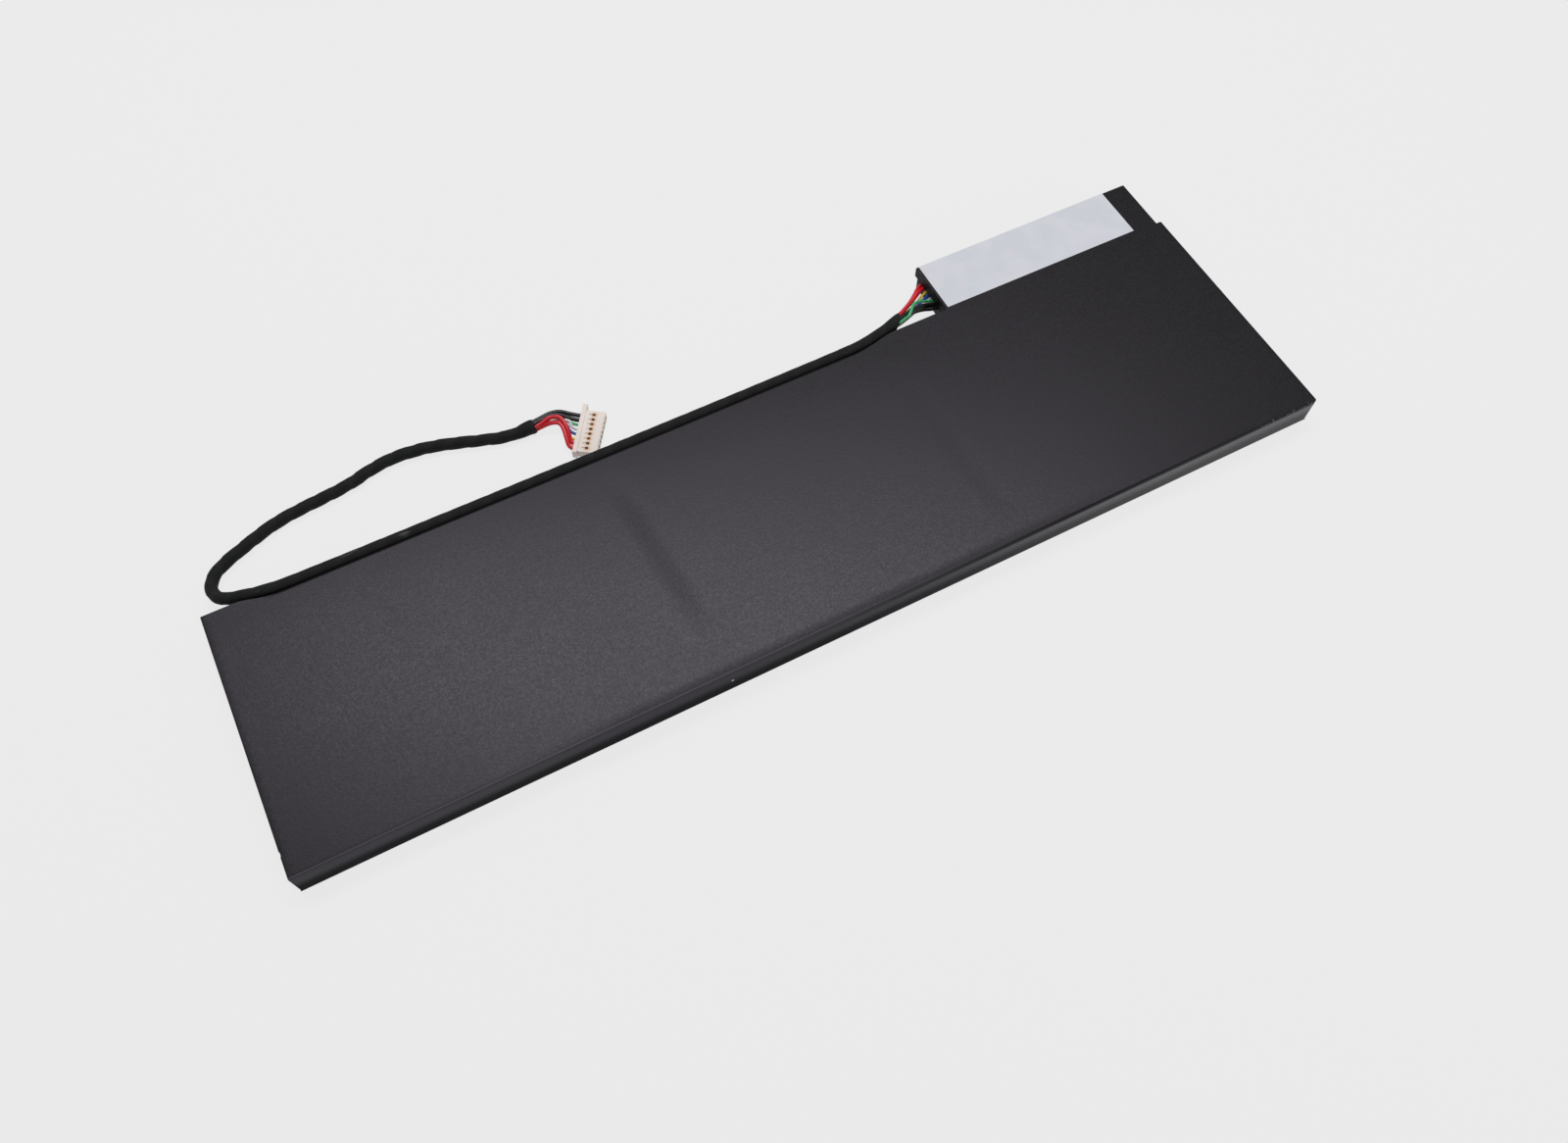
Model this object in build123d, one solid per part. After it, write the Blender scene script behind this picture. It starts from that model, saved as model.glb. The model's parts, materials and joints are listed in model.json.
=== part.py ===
from build123d import *
from math import cos, pi, radians, sin, sqrt, tan
import os

# A flat laptop battery pack: three pouch cells in a moulded frame under one film, a board bay at the
# back right, and a sleeved cable with an eight-way plug.
# Millimetres. X runs along the pack, Y towards the board bay at the back, Z up. The origin is under the
# middle of the pack's outline, on the surface that the pack lies on.

# Pouch cells
cell_names = ("left", "middle", "right")
cell_length = 89.6
cell_depth = 60.6
cell_thickness = 7.6
cell_side_bevel = 2.6
cell_end_bevel = 0.9
cell_clearance = 0.25
terrace_depth = 3.4
terrace_height = 2.75
terrace_thickness = 0.4
terrace_inset = 1.0

# Films, tape and sticker
film = 0.15
bottom_film_thickness = 0.15
tape_thickness = 0.15
tape_margin = 9.0
corner_radius = 1.2
top_edge_bevel = 0.38
valley_depth = 0.35
valley_margin = 0.1
label_thickness = 0.1
label_length = 60.9
label_depth = 15.8
label_end_gap = 0.65
label_front_gap = 0.4

# Moulded frame
frame_floor = 0.65
side_wall = 1.0
front_wall = 1.0
rear_wall = 1.0
rib_width = 0.7
rib_height = 5.5
tab_room = 1.2
ledge_depth = 1.9
ledge_height = 5.9
ledge_plate = 0.9
rail_skin = 0.8
channel_left = 8.0
channel_bay_gap = 16.35
channel_ramp_left = 9.0
channel_ramp_right = 11.0
channel_bend = 25.0

# Board bay
bay_length = 69.15
bay_depth = 16.4
bay_inset = 1.5
bay_wall = 1.0
bay_front_ledge = 0.8
bay_end_step = 1.0
mouth_sill = 3.2
mouth_margin = 1.2
cover_thickness = 0.8
cover_skirt = 2.3
cover_clearance = 0.1
board_height = 3.0
board_thickness = 0.8
board_clearance = 0.15
board_ledge = 1.2

# Tabs and strips
tab_width = 6.0
tab_thickness = 0.15
tab_from_end = 25.0
tab_bay_gap = 7.1
tab_straight = 0.45
tab_lift = 0.5
tab_return = 2.6
strip_thickness = 0.15
strip_width = 5.0
link_width = 2.4
link_overlap = 3.0
ribbon_thickness = 0.2
ribbon_gap = 0.15
ribbon_tongue = 5.0
ribbon_board_gap = 6.2
tap_wire_diameter = 0.7
tap_wire_height = 1.6
tap_wire_board_gap = 10.4
window_height = 2.4
window_margin = 4.0
landing = 2.2
pad_inset = 4.0
pad_clearance = 0.2

# Cable
sleeve_diameter = 3.2
sleeve_sides = 10
wire_sides = 6
flare_start = 3.3
flare_diameter = 3.6
flare_sides = 12
flare_length = 4.0
ledge_clearance = 0.05
wall_clearance = 0.1
power_wire = 1.0
signal_wire = 0.8
bundle_radius = 1.2
wire_lead = 0.9
board_wire_pitch = 1.45
board_wire_first = 1.15
board_wire_landing = 3.5
board_wire_reach = 0.4
solder_thickness = 0.03

# Plug
plug_x = 102.9
plug_y = 11.15
plug_turn = -34.0
contact_pitch = 1.5
plug_body_length = 13.0
plug_body_back = 2.3
plug_body_front = 3.0
plug_body_height = 2.4
plug_base = 0.1
flange_length = 15.6
flange_depth = 1.15
flange_height = 2.75
flange_shift = 0.7
row_lift = 0.15
plug_edge = 0.25
cavity_width = 1.1
cavity_height = 1.2
window_length = 0.8
groove_length = 0.9
groove_width = 0.35
groove_depth = 0.2
contact_clearance = 0.05
contact_back = 1.4
contact_front = 2.6
contact_wall = 0.2
crimp_length = 0.9
crimp_diameter = 0.8
crimp_sides = 6
plug_wire_approach = 1.9

# Places that follow from the sizes above
cell_count = len(cell_names)
cell_step = cell_length + 2 * cell_clearance + rib_width
slab_length = 2 * film + 2 * side_wall + cell_count * cell_step - rib_width
cell_zone = cell_clearance + cell_depth + terrace_depth + tab_room
slab_depth = film + front_wall + cell_zone + rear_wall + ledge_depth
pack_depth = slab_depth + bay_depth
left = -slab_length / 2
right = slab_length / 2
front = -pack_depth / 2
back = pack_depth / 2
slab_back = front + slab_depth
channel_wall = slab_back - ledge_depth
inner_front = front + film + front_wall
inner_back = channel_wall - rear_wall
floor_top = bottom_film_thickness + frame_floor
cell_bottom = floor_top + tape_thickness
cell_top = cell_bottom + cell_thickness
top = cell_top + film
cell_front = inner_front + cell_clearance
cell_back = cell_front + cell_depth
terrace_back = cell_back + terrace_depth
terrace_bottom = cell_bottom + terrace_height
terrace_top = terrace_bottom + terrace_thickness
leg_bottom = terrace_bottom + (terrace_thickness - tab_thickness) / 2
tab_top = terrace_top + tab_lift + tab_thickness
valley_half = rib_width / 2 + cell_clearance + cell_side_bevel - valley_margin
valley_radius = (valley_half ** 2 + valley_depth ** 2) / (2 * valley_depth)
bay_end = right - bay_inset
bay_start = bay_end - bay_length
tray_start = bay_start + bay_end_step
pocket_start = tray_start + bay_wall
pocket_end = bay_end - film - bay_wall
pocket_front = channel_wall + bay_front_ledge
pocket_back = back - film - bay_wall
cover_bottom = top - film - cover_thickness
board_top = board_height + board_thickness


def cell_start(index):
    """The left end of a cell."""
    return left + film + side_wall + cell_clearance + index * cell_step


def joint_places():
    """The middle of each gap between two cells."""
    return [cell_start(index) - cell_clearance - rib_width / 2 for index in range(1, cell_count)]


def positive_place(index):
    return cell_start(index) + cell_length - tab_from_end


def negative_place(index):
    """The last cell's tab lies just inside the board's pocket, and the other cells are the same."""
    return pocket_start + tab_bay_gap - (cell_count - 1 - index) * cell_step


def block(x, y, z):
    """A box from its (low, high) limits along each axis."""
    size = Box(x[1] - x[0], y[1] - y[0], z[1] - z[0])
    return Pos((x[0] + x[1]) / 2, (y[0] + y[1]) / 2, (z[0] + z[1]) / 2) * size


def pack_block(inset, low, high):
    """The pack's L-shaped outline, bevelled along its top edge and drawn in by a film on its wrapped sides."""
    start = left + inset
    end = right - inset
    near = front + inset
    bay_side = bay_end - inset
    far = back - inset
    corners = [(start, near), (end, near), (end, slab_back), (bay_side, slab_back)]
    corners += [(bay_side, far), (bay_start, far), (bay_start, slab_back), (start, slab_back)]
    outline = make_face(Polyline(*corners, close=True))
    round_corners = [(start, near), (end, near), (end, slab_back), (bay_side, far)]
    picked = [v for v in outline.vertices() if any(abs(v.X - x) + abs(v.Y - y) < 0.001 for x, y in round_corners)]
    outline = fillet(picked, corner_radius - inset)
    solid = Pos(0, 0, low) * extrude(outline, high - low)
    bevelled = [e for e in solid.edges().group_by(Axis.Z)[-1] if not is_open_edge(e.center())]
    solid = chamfer(bevelled, top_edge_bevel - inset * (2 - sqrt(2)))
    for place in joint_places():
        solid -= valley(place, inset)
    return solid


def is_open_edge(point):
    """True on the edges that the film isn't folded over: the channel's side and the bay's open end."""
    along_channel = abs(point.Y - slab_back) < 0.001 and point.X < bay_start
    along_mouth = abs(point.X - bay_start) < 0.001
    return along_channel or along_mouth


def valley(place, inset):
    """The shallow dip of the film between two cells, deepest at the back and gone at the front."""
    tilt = valley_depth / slab_depth
    reach = slab_depth + 2 * front_wall
    axis_start = Vector(place, front, top + valley_radius)
    direction = Vector(0, 1, -tilt)
    plane = Plane(origin=axis_start - direction * front_wall, z_dir=direction)
    return extrude(plane * Circle(valley_radius + inset), reach)


def channel_space():
    """The cable's channel along the back edge, open to the back and to the top."""
    start = left + channel_left
    end = bay_start - channel_bay_gap
    outside = slab_back + ledge_depth
    inner = [(start + channel_ramp_left, channel_wall), (end - channel_ramp_right, channel_wall)]
    outer = [(end + channel_ramp_right, outside), (start - channel_ramp_left, outside)]
    outline = make_face(Polyline(*inner, *outer, close=True))
    bends = [v for v in outline.vertices() if abs(v.Y - channel_wall) < 0.001]
    outline = fillet(bends, channel_bend)
    return Pos(0, 0, ledge_height) * extrude(outline, top)


def make_top_film():
    outer = pack_block(0, bottom_film_thickness, top)
    inner = pack_block(film, bottom_film_thickness, top - film)
    below_skirt = block((bay_start, tray_start), (slab_back, back), (0, cover_bottom - cover_skirt))
    return outer - inner - channel_space() - below_skirt


def make_bottom_film():
    slab = block((left, right), (front, slab_back), (0, bottom_film_thickness))
    bay = block((tray_start, bay_end), (slab_back, back), (0, bottom_film_thickness))
    return slab + bay


def make_frame():
    solid = pack_block(film, bottom_film_thickness, top - film) - channel_space()
    for index in range(cell_count):
        start = cell_start(index) - cell_clearance
        end = start + cell_length + 2 * cell_clearance
        solid -= block((start, end), (inner_front, inner_back), (floor_top, top))
    row = (cell_start(0), cell_start(cell_count - 1) + cell_length)
    solid -= block(row, (inner_front, inner_back), (floor_top + rib_height, top))
    solid -= block(row, (cell_back, inner_back), (floor_top, top))
    core_start = left + channel_left + channel_ramp_left
    core_end = bay_start - channel_bay_gap - channel_ramp_right
    core_height = (0, ledge_height - ledge_plate)
    solid -= block((core_start, core_end), (channel_wall, slab_back - rail_skin), core_height)
    return solid - bay_spaces()


def bay_spaces():
    """What is cut from the frame at the board bay: the pocket, the mouth, the lid's seat and the window."""
    pocket = (pocket_start, pocket_end)
    spaces = block(pocket, (pocket_front, pocket_back), (board_height, top))
    lower = (pocket_front + board_ledge, pocket_back - board_ledge)
    spaces += block(pocket, lower, (floor_top, top))
    spaces += block((bay_start, bay_end), (channel_wall, back), (cover_bottom, top))
    spaces += block((bay_start, tray_start), (slab_back, back), (0, top))
    mouth = (slab_back + mouth_margin, pocket_back)
    spaces += block((tray_start, pocket_start), mouth, (mouth_sill, top))
    window = (negative_place(cell_count - 1) - window_margin, positive_place(cell_count - 1) + window_margin)
    spaces += block(window, (inner_back, pocket_front), (board_top, board_top + window_height))
    return spaces


def make_board_cover():
    """The bay's lid, with a skirt that hangs over the wires at the open end."""
    zone = block((bay_start, bay_end), (channel_wall + cover_clearance, back), (cover_bottom, top))
    plate = pack_block(film, bottom_film_thickness, top - film) & zone
    skirt_y = (slab_back + mouth_margin + cover_clearance, back - film)
    skirt = block((bay_start, tray_start), skirt_y, (cover_bottom - cover_skirt, cover_bottom))
    return plate + skirt


def make_label():
    start = bay_start + label_end_gap
    near = slab_back + label_front_gap
    return block((start, start + label_length), (near, near + label_depth), (top, top + label_thickness))


def make_cell(index):
    """A sealed pouch: a bevelled body with a thin sealed edge at the back."""
    start = cell_start(index)
    body = block((start, start + cell_length), (cell_front, cell_back), (cell_bottom, cell_top))
    body = chamfer(body.edges().filter_by(Axis.Y), cell_side_bevel)
    body = chamfer(body.faces().filter_by(Axis.Y).edges(), cell_end_bevel)
    width = (start + terrace_inset, start + cell_length - terrace_inset)
    depth = (cell_back - cell_end_bevel, terrace_back)
    return body + block(width, depth, (terrace_bottom, terrace_top))


def make_cell_tape(index):
    x = (cell_start(index) + tape_margin, cell_start(index) + cell_length - tape_margin)
    y = (cell_front + tape_margin, cell_back - tape_margin)
    return block(x, y, (floor_top, cell_bottom))


def bent_strip(points, thickness, width, place, side=Side.LEFT):
    """A strip folded to a profile of (y, z) points, thickened to one side and extruded along X about a place."""
    with BuildSketch(Plane.YZ) as profile:
        with BuildLine():
            Polyline(*points)
            offset(amount=thickness, side=side, kind=Kind.INTERSECTION)
        make_face()
    return Pos(place - width / 2, 0, 0) * extrude(profile.sketch, width)


def make_tab(place):
    """A tab that leaves the sealed edge and folds back over it."""
    fold = terrace_back + tab_straight + tab_lift
    upper = tab_top - tab_thickness
    low = leg_bottom + tab_thickness
    points = [(terrace_back, low), (fold, low), (fold, upper), (terrace_back - tab_return, upper)]
    return bent_strip(points, tab_thickness, tab_width, place, Side.RIGHT)


def make_link(index):
    """A nickel strip from one cell's positive tab to the next cell's negative tab."""
    x = (positive_place(index) - link_overlap, negative_place(index + 1) + link_overlap)
    y = (terrace_back - link_width, terrace_back)
    return block(x, y, (tab_top, tab_top + strip_thickness))


def make_board_strip(place, seat):
    """A strip from a tab through the frame's window and down on to the board."""
    drop = seat - board_top
    start = terrace_back - link_width
    edge = pocket_front + drop / 2
    points = [(start, seat), (edge, seat), (edge + drop, board_top), (edge + drop + landing, board_top)]
    return bent_strip(points, strip_thickness, strip_width, place)


def make_negative_strip():
    """A ribbon on edge behind the tabs, with a tongue under the first tab and one on the board."""
    face = inner_back - ribbon_gap
    ribbon_y = (face - ribbon_thickness, face)
    ribbon_top = leg_bottom - ribbon_thickness
    tab_x = negative_place(0)
    board_x = negative_place(cell_count - 1) + ribbon_board_gap
    half = ribbon_tongue / 2
    solid = block((tab_x - half, board_x + half), ribbon_y, (floor_top, ribbon_top))
    tongue_y = (terrace_back + ribbon_gap / 3, face)
    solid += block((tab_x - half, tab_x + half), tongue_y, (ribbon_top, leg_bottom))
    board_tongue = (board_x - half, board_x + half)
    solid += block(board_tongue, ribbon_y, (ribbon_top, board_top + ribbon_thickness))
    landing_y = (ribbon_y[0], pocket_front + landing)
    return solid + block(board_tongue, landing_y, (board_top, board_top + ribbon_thickness))


def make_tap_wire():
    """A thin wire from the middle cell's negative tab along the frame's floor to the board."""
    start_x = negative_place(1)
    end_x = negative_place(cell_count - 1) + tap_wire_board_gap
    y = terrace_back + tab_straight
    on_board = board_top + tap_wire_diameter / 2
    points = [(start_x, y, leg_bottom), (start_x, y, tap_wire_height), (end_x, y, tap_wire_height)]
    points += [(end_x, y, on_board), (end_x, pocket_front + landing, on_board)]
    section = Plane(origin=points[0], z_dir=(0, 0, -1)) * RegularPolygon(tap_wire_diameter / 2, wire_sides)
    return sweep(section, path=Polyline(*points), transition=Transition.RIGHT)


def make_tab_pad(index):
    """Insulating foam between a cell's tabs and the film."""
    x = (cell_start(index) + pad_inset, cell_start(index) + cell_length - pad_inset)
    y = (cell_back + pad_clearance, inner_back - pad_clearance)
    return block(x, y, (tab_top + 2 * strip_thickness, cell_top))


def make_board():
    x = (pocket_start + board_clearance, pocket_end - board_clearance)
    y = (pocket_front + board_clearance, pocket_back - board_clearance)
    return block(x, y, (board_height, board_top))


# Chips in a row along the board: name, length, depth and height
board_chips = (
    ("gauge_chip", 7.8, 4.4, 1.1),
    ("protection_chip", 5.0, 4.4, 1.0),
    ("charge_switch", 5.0, 6.0, 1.0),
    ("discharge_switch", 5.0, 6.0, 1.0),
    ("fuse", 3.8, 5.4, 1.2),
    ("sense_resistor", 3.2, 6.3, 0.6),
)
chip_edge = 0.12
chip_row = 10.3
chip_row_start = 19.1
chip_row_end = 3.2
capacitor_size = (1.6, 0.8, 0.8)
capacitor_first = 14.0
capacitor_pitch = 2.8
capacitor_count = 4
small_row = 6.0
thermistor_along = 27.5


def make_chips():
    """The chips side by side along the board, with even gaps."""
    lengths = [length for name, length, depth, height in board_chips]
    row = pocket_end - pocket_start - chip_row_start - chip_row_end
    gap = (row - sum(lengths)) / (len(lengths) - 1)
    x = pocket_start + chip_row_start
    chips = {}
    for name, length, depth, height in board_chips:
        y = pocket_front + chip_row
        body = block((x, x + length), (y - depth / 2, y + depth / 2), (board_top, board_top + height))
        chips[name] = chamfer(body.edges().group_by(Axis.Z)[-1], chip_edge)
        x += length + gap
    return chips


def make_small_part(along):
    length, depth, height = capacitor_size
    return Pos(pocket_start + along, pocket_front + small_row, board_top + height / 2) * Box(length, depth, height)


def make_capacitors():
    return [make_small_part(capacitor_first + index * capacitor_pitch) for index in range(capacitor_count)]


def tube(path, diameter, sides):
    """A solid of many-sided section along a path of straight runs and tangent arcs."""
    start = Plane(origin=path @ 0, z_dir=path % 0)
    return sweep(start * RegularPolygon(diameter / 2, sides), path=path)


def soft_path(points, share=0.45):
    """Straight runs joined by arcs, each as large as its two runs allow."""
    radii = []
    for before, corner, after in zip(points, points[1:], points[2:]):
        first = corner - before
        second = after - corner
        turn = radians(first.get_angle(second))
        radii.append(share * min(first.length, second.length) / tan(turn / 2))
    return FilletPolyline(*points, radius=radii), radii


# The cable's route. Its first points are measured from the bay's open end and the others from the pack's left
# end, all of them across from the slab's back edge.
cable_height = ledge_height + sleeve_diameter / 2 + ledge_clearance
cable_seat = sleeve_diameter / 2 + wall_clearance - ledge_depth
floor_lie = sleeve_diameter / 2
bay_run = [
    (-12.65, 3.65, 7.0),
    (-16.95, 2.4, 7.35),
    (-22.35, 1.0, cable_height),
    (-30.35, cable_seat, cable_height),
]
loop_run = [
    (24.0, cable_seat + 0.1, cable_height),
    (15.0, 0.6, 7.5),
    (9.6, 2.4, 6.5),
    (5.4, 4.7, 4.6),
    (3.2, 8.1, 3.0),
    (3.2, 11.9, 2.1),
    (5.9, 15.5, 1.75),
    (13.0, 18.6, floor_lie + 0.02),
    (22.0, 22.1, floor_lie),
    (32.1, 23.4, floor_lie),
    (41.6, 24.3, floor_lie),
    (48.4, 26.4, floor_lie),
    (55.6, 27.4, floor_lie),
    (65.8, 25.9, floor_lie),
    (77.6, 21.7, floor_lie),
    (84.2, 19.6, floor_lie),
    (90.4, 19.7, floor_lie + 0.4),
]


def from_bay(point):
    return Vector(bay_start + point[0], slab_back + point[1], point[2])


def from_left(point):
    return Vector(left + point[0], slab_back + point[1], point[2])


cable_points = [from_bay(point) for point in bay_run] + [from_left(point) for point in loop_run]


def flare(end, direction):
    """The sleeve's opened end, where the wires leave it."""
    plane = Plane(origin=end - direction * flare_length, z_dir=direction)
    narrow = plane * RegularPolygon(flare_start / 2, flare_sides)
    wide = plane.offset(flare_length) * RegularPolygon(flare_diameter / 2, flare_sides)
    return loft([narrow, wide])


def make_cable_sleeve():
    path, radii = soft_path(cable_points)
    solid = tube(path, sleeve_diameter, sleeve_sides)
    section = sleeve_sides * sin(2 * pi / sleeve_sides) * sleeve_diameter ** 2 / 8
    print("cable length", round(path.length, 1), "radii", [round(radius, 1) for radius in radii])
    print("tube volume", round(solid.volume, 1), "section by length", round(section * path.length, 1))
    solid += flare(cable_points[0], (path % 0) * -1)
    return solid + flare(cable_points[-1], path % 1)


wire_names = ("red_a", "red_b", "yellow", "blue", "white", "green", "black_a", "black_b")
power_wires = ("red_a", "red_b", "black_a", "black_b")


def wire_diameter(name):
    return power_wire if name in power_wires else signal_wire


def bundle_offset(direction, place):
    """A wire's place in the sleeve's open end, from its centre: one in the middle and the others round it."""
    if place == 0:
        return Vector(0, 0, 0)
    side = Vector(0, 0, 1).cross(direction).normalized()
    up = direction.cross(side).normalized()
    angle = radians((place - 1) * 360 / (len(wire_names) - 1))
    return side * (bundle_radius * cos(angle)) + up * (bundle_radius * sin(angle))


# The wires at the bay: each one's place in the sleeve's end, where 0 is the middle and 1 to 7 are round it, and
# the points that it bends at between the bay and the sleeve, measured as the cable's first points are
board_bundle = {"red_a": 1, "red_b": 2, "yellow": 7, "blue": 0, "white": 6, "green": 4, "black_a": 3, "black_b": 5}
board_bends = {
    "red_a": [(-6.26, 9.56, 6.37)],
    "red_b": [(-5.72, 7.95, 6.96)],
    "yellow": [(-4.62, 7.87, 4.58)],
    "blue": [(-3.84, 7.41, 4.92)],
    "white": [(-1.25, 8.68, 3.4)],
    "green": [(-6.44, 6.64, 8.54), (-9.73, 2.8, 8.42)],
    "black_a": [(-4.24, 5.7, 6.61)],
    "black_b": [(-5.27, 5.56, 5.46)],
}


def make_board_wire(index, name):
    """A wire from its pad on the board, out of the bay's mouth and into the sleeve."""
    diameter = wire_diameter(name)
    y = pocket_back - board_wire_first - index * board_wire_pitch
    z = board_top + solder_thickness + diameter / 2
    end = cable_points[0]
    away = (end - cable_points[1]).normalized()
    pad = Vector(pocket_start + board_wire_landing, y, z)
    mouth = Vector(bay_start + board_wire_reach, y, z)
    bends = [from_bay(point) for point in board_bends[name]]
    spot = end + bundle_offset(away, board_bundle[name])
    return wire([pad, mouth] + bends + [spot + away * wire_lead, spot], diameter)


def wire(points, diameter):
    path, radii = soft_path(points)
    return tube(path, diameter, wire_sides)


plug_facing = (cos(radians(plug_turn)), sin(radians(plug_turn)), 0)
plug_frame = Plane(origin=from_left((plug_x, plug_y, 0)), x_dir=plug_facing)
row_height = plug_base + plug_body_height / 2 + row_lift


def contact_spot(index):
    """A contact's place along the row, nearest the pack first."""
    return (index - (len(wire_names) - 1) / 2) * contact_pitch


def make_plug_housing():
    body = block((-plug_body_back, plug_body_front), (-plug_body_length / 2, plug_body_length / 2),
                 (plug_base, plug_base + plug_body_height))
    body = chamfer(body.faces().sort_by(Axis.X)[-1].edges(), plug_edge)
    flange_x = (-plug_body_back - flange_depth, -plug_body_back)
    flange_y = (flange_shift - flange_length / 2, flange_shift + flange_length / 2)
    rim = block(flange_x, flange_y, (0, flange_height))
    solid = body + chamfer(rim.edges().filter_by(Axis.X), plug_edge)
    upper = plug_base + plug_body_height
    for index in range(len(wire_names)):
        y = contact_spot(index)
        width = (y - cavity_width / 2, y + cavity_width / 2)
        height = (row_height - cavity_height / 2, row_height + cavity_height / 2)
        solid -= block((flange_x[0], plug_body_front), width, height)
        window = (y - window_length / 2, y + window_length / 2)
        solid -= block((-window_length / 2, window_length / 2), window, (row_height, upper))
        groove = (y - groove_width / 2, y + groove_width / 2)
        groove_x = (-window_length / 2 - groove_length, -window_length / 2)
        solid -= block(groove_x, groove, (upper - groove_depth, upper))
    return plug_frame * solid


def make_plug_contacts():
    """Box contacts with an open front for the pins, each with a crimp for its wire."""
    solids = []
    half_width = cavity_width / 2 - contact_clearance
    low = row_height - cavity_height / 2
    high = row_height + cavity_height / 2 - contact_clearance
    for index in range(len(wire_names)):
        y = contact_spot(index)
        width = (y - half_width, y + half_width)
        solid = block((-contact_back, contact_front), width, (low, high))
        bore = (y - half_width + contact_wall, y + half_width - contact_wall)
        solid -= block((0, contact_front), bore, (low + contact_wall, high - contact_wall))
        seat = Plane(origin=(-contact_back - crimp_length, y, row_height), z_dir=(1, 0, 0))
        solid += extrude(seat * RegularPolygon(crimp_diameter / 2, crimp_sides), crimp_length)
        solids.append(plug_frame * solid)
    return solids


# The wires at the plug: each one's place in the sleeve's end, and the points of its arch in the plug's own frame
plug_bundle = {"red_a": 5, "red_b": 4, "yellow": 6, "blue": 7, "white": 0, "green": 1, "black_a": 3, "black_b": 2}
plug_arches = {
    "red_a": [(-9.26, 1.26, 3.02), (-7.63, 0.53, 2.89)],
    "red_b": [(-9.72, 2.43, 4.42), (-4.71, -1.11, 3.24)],
    "yellow": [(-4.91, -0.22, 0.42)],
    "blue": [(-7.02, 2.96, 1.85)],
    "white": [(-5.93, 3.36, 2.8)],
    "green": [(-9.4, 4.9, 0.96)],
    "black_a": [(-10.43, 4.4, 3.47)],
    "black_b": [(-10.64, 5.92, 2.63)],
}


def make_plug_wire(index, name):
    """A wire from the sleeve's end over a loose arch into its cavity in the plug."""
    end = cable_points[-1]
    away = (end - cable_points[-2]).normalized()
    spot = end + bundle_offset(away, plug_bundle[name])
    y = contact_spot(index)
    entry = -plug_body_back - flange_depth
    turn = (entry - plug_wire_approach, y, row_height)
    crimp = (-contact_back - crimp_length, y, row_height)
    points = [spot, spot + away * wire_lead]
    points += [plug_frame.from_local_coords(Vector(*point)) for point in plug_arches[name] + [turn, crimp]]
    return wire(points, wire_diameter(name))


def make_parts():
    parts = {"top_film": make_top_film(), "bottom_film": make_bottom_film(), "frame": make_frame()}
    parts["board_cover"] = make_board_cover()
    parts["label"] = make_label()
    for index, name in enumerate(cell_names):
        parts["cell_" + name] = make_cell(index)
        parts["cell_tape_" + name] = make_cell_tape(index)
        parts["tab_" + name + "_negative"] = make_tab(negative_place(index))
        parts["tab_" + name + "_positive"] = make_tab(positive_place(index))
        parts["tab_pad_" + name] = make_tab_pad(index)
    parts["link_left"] = make_link(0)
    parts["link_right"] = make_link(1)
    parts["tap_strip"] = make_board_strip(negative_place(cell_count - 1), tab_top + strip_thickness)
    parts["positive_strip"] = make_board_strip(positive_place(cell_count - 1), tab_top)
    parts["negative_strip"] = make_negative_strip()
    parts["tap_wire"] = make_tap_wire()
    parts["board"] = make_board()
    parts.update(make_chips())
    parts["thermistor"] = make_small_part(thermistor_along)
    parts["capacitors"] = make_capacitors()
    parts["cable_sleeve"] = make_cable_sleeve()
    for index, name in enumerate(wire_names):
        parts["board_wire_" + name] = make_board_wire(index, name)
        parts["plug_wire_" + name] = make_plug_wire(index, name)
    parts["plug_housing"] = make_plug_housing()
    parts["plug_contacts"] = make_plug_contacts()
    return parts


def main():
    os.makedirs("parts", exist_ok=True)
    for name, shape in make_parts().items():
        solids = shape if isinstance(shape, list) else shape.solids()
        export_step(Compound(children=list(solids)), "parts/" + name + ".step")


main()
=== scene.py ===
# %% [markdown]
# # A laptop battery pack, dressed in Blender
# The solids of this pack come from its CAD source, already packed as one model in metres. This lesson
# gives it the looks of the real thing: a satin film drawn over three cells, a cable wound in cloth
# tape, eight bright wires and a small ivory plug. Every piece is placed in the CAD model's own frame,
# so nothing has to be fitted by eye.

import json
from math import cos, hypot, pi, radians, sin, sqrt

import bmesh
import bpy
import numpy as np
from mathutils import Matrix, Vector
from mathutils.geometry import delaunay_2d_cdt

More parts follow.
